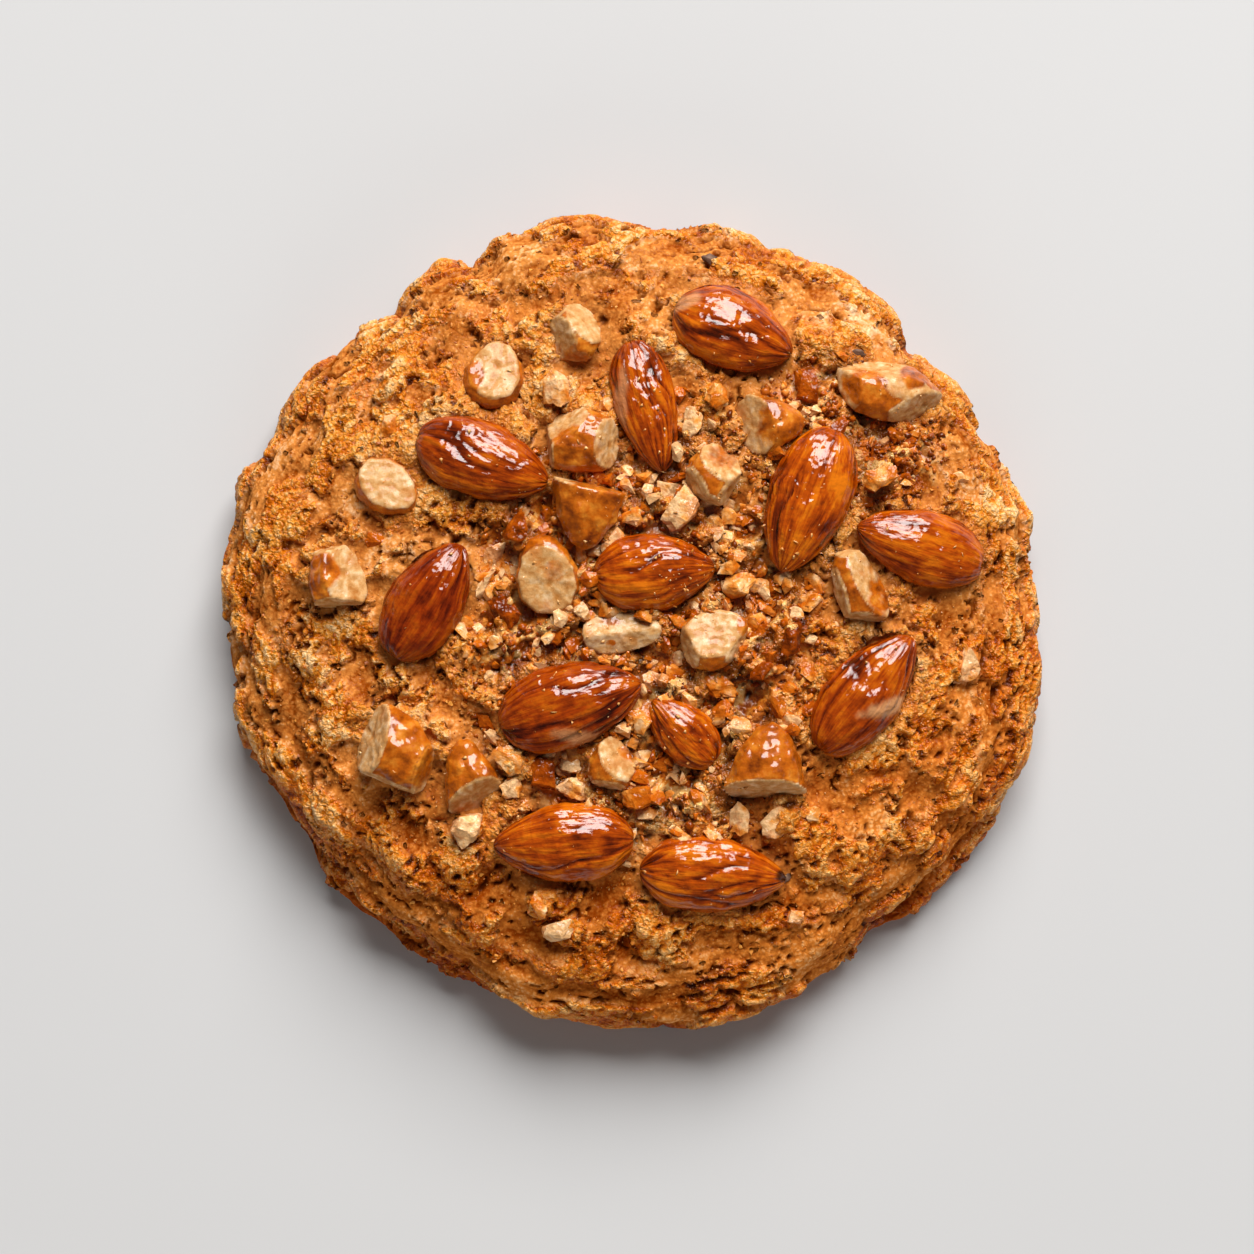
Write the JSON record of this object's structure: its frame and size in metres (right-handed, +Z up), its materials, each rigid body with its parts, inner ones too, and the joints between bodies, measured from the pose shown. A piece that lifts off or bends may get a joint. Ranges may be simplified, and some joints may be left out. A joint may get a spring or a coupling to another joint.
{
  "type": "praline cookie",
  "caption": "Thick round baked cookie with a craggy domed crust, topped with whole and chopped caramelised almonds and praline bits.",
  "frame": {"origin": "middle of the cookie's outline, on its flat underside", "axes": "+Z up out of the crown, +X to the right and +Y to the top of the cookie seen from above"},
  "size_m": [0.1266, 0.1264, 0.0261],
  "materials": {
    "baked_dough": "golden-brown craggy baked dough, matt with small sugary glints",
    "caramelised_almond": "furrowed almond skin under glossy amber caramel",
    "chopped_almond": "cream cut nut with amber skin at its edges",
    "praline_crumb": "cream and tan nut crumbs",
    "caramel": "glossy amber caramel bits",
    "sugar": "fine clear sugar grains"
  },
  "bodies": {
    "root": {"cookie": "baked_dough", "almond_01": "caramelised_almond", "almond_02": "caramelised_almond", "almond_03": "caramelised_almond", "almond_04": "caramelised_almond", "almond_05": "caramelised_almond", "almond_06": "caramelised_almond", "almond_07": "caramelised_almond", "almond_08": "caramelised_almond", "almond_09": "caramelised_almond", "almond_10": "caramelised_almond", "almond_11": "caramelised_almond", "almond_12": "caramelised_almond", "chopped_01": "chopped_almond", "chopped_02": "chopped_almond", "chopped_03": "chopped_almond", "chopped_04": "chopped_almond", "chopped_05": "chopped_almond", "chopped_06": "chopped_almond", "chopped_07": "chopped_almond", "chopped_08": "chopped_almond", "chopped_09": "chopped_almond", "chopped_10": "chopped_almond", "chopped_11": "chopped_almond", "chopped_12": "chopped_almond", "chopped_13": "chopped_almond", "chopped_14": "chopped_almond", "chopped_15": "chopped_almond", "chopped_16": "chopped_almond", "chopped_17": "chopped_almond"}
  },
  "joints": []
}
